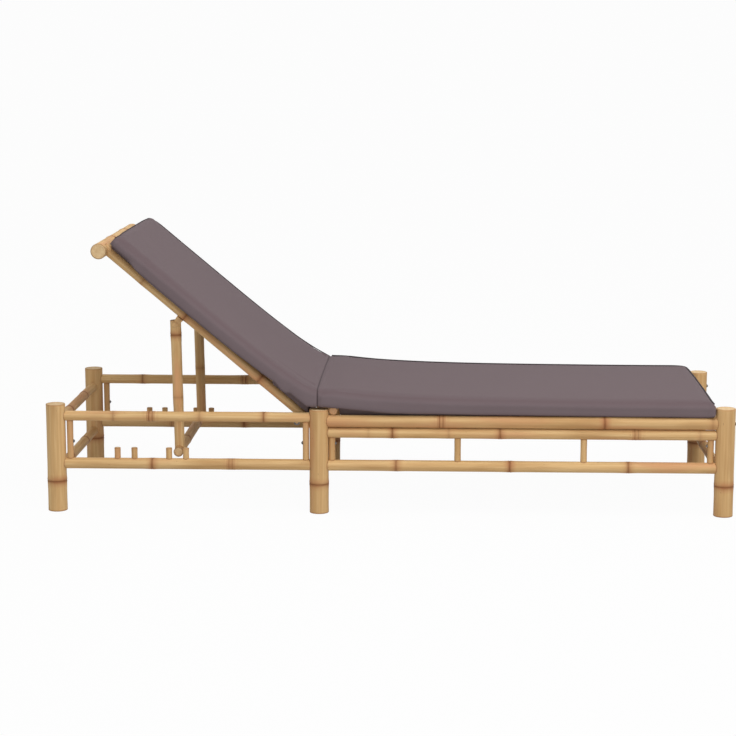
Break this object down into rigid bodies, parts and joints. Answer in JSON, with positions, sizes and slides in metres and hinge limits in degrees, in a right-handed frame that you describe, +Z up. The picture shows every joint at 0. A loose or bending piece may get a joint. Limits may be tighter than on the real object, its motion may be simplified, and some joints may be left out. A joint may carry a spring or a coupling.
{
  "type": "sun lounger",
  "caption": "Low bamboo sun lounger with a reclining backrest, a swing-out prop that stands between pegs, and a folding cushion.",
  "frame": {"origin": "on the floor, midway between the head and foot legs and between the near and far sides", "axes": "+X towards the foot end, +Y towards the far side, +Z up"},
  "size_m": [1.8948, 0.651, 0.766],
  "materials": {
    "bamboo": "clear-varnished natural bamboo, satin",
    "cushion": "matt grey-brown outdoor cloth",
    "steel": "plain zinc-plated steel"
  },
  "bodies": {
    "base": {"head_leg_near": "bamboo", "head_leg_far": "bamboo", "mid_leg_near": "bamboo", "mid_leg_far": "bamboo", "foot_leg_near": "bamboo", "foot_leg_far": "bamboo", "head_rail_near": "bamboo", "head_rail_far": "bamboo", "head_lower_rail_near": "bamboo", "head_lower_rail_far": "bamboo", "seat_rail_near": "bamboo", "seat_rail_far": "bamboo", "second_rail_near": "bamboo", "second_rail_far": "bamboo", "seat_lower_rail_near": "bamboo", "seat_lower_rail_far": "bamboo", "head_post_1_near": "bamboo", "head_post_2_near": "bamboo", "head_post_1_far": "bamboo", "head_post_2_far": "bamboo", "seat_post_1_near": "bamboo", "seat_post_2_near": "bamboo", "seat_post_3_near": "bamboo", "seat_post_4_near": "bamboo", "seat_post_1_far": "bamboo", "seat_post_2_far": "bamboo", "seat_post_3_far": "bamboo", "seat_post_4_far": "bamboo", "head_upper_cross": "bamboo", "head_lower_cross": "bamboo", "mid_lower_cross": "bamboo", "foot_upper_cross": "bamboo", "foot_lower_cross": "bamboo", "fold_pole": "bamboo", "seat_slat_1": "bamboo", "seat_slat_2": "bamboo", "seat_slat_3": "bamboo", "seat_slat_4": "bamboo", "seat_slat_5": "bamboo", "seat_slat_6": "bamboo", "hinge_plate_near": "steel", "hinge_plate_far": "steel", "hinge_axle": "steel", "seat_cushion": "cushion"},
    "backrest": {"back_rail_near": "bamboo", "back_rail_far": "bamboo", "headbar": "bamboo", "back_slat_1": "bamboo", "back_slat_2": "bamboo", "back_slat_3": "bamboo", "back_slat_4": "bamboo", "hinge_bracket_near": "steel", "hinge_bracket_far": "steel", "prop_bracket_near": "steel", "prop_bracket_far": "steel", "back_cushion": "cushion"},
    "prop": {"prop_leg_near": "bamboo", "prop_leg_far": "bamboo", "prop_bar": "bamboo", "prop_axle": "steel"}
  },
  "joints": [
    {"name": "backrest_recline", "type": "hinge", "parent": "base", "child": "backrest", "pos_m": [-0.2535, 0, 0.25], "axis": [0, -1, 0], "range_deg": [0, 40.3]},
    {"name": "prop_fold", "type": "hinge", "parent": "backrest", "child": "prop", "pos_m": [-0.59, 0, 0.517], "axis": [0, -1, 0], "range_deg": [0, 36.8]}
  ],
  "couplings": [
    {"joint": "prop_fold", "follows": "backrest_recline", "ratio": 0.91}
  ]
}
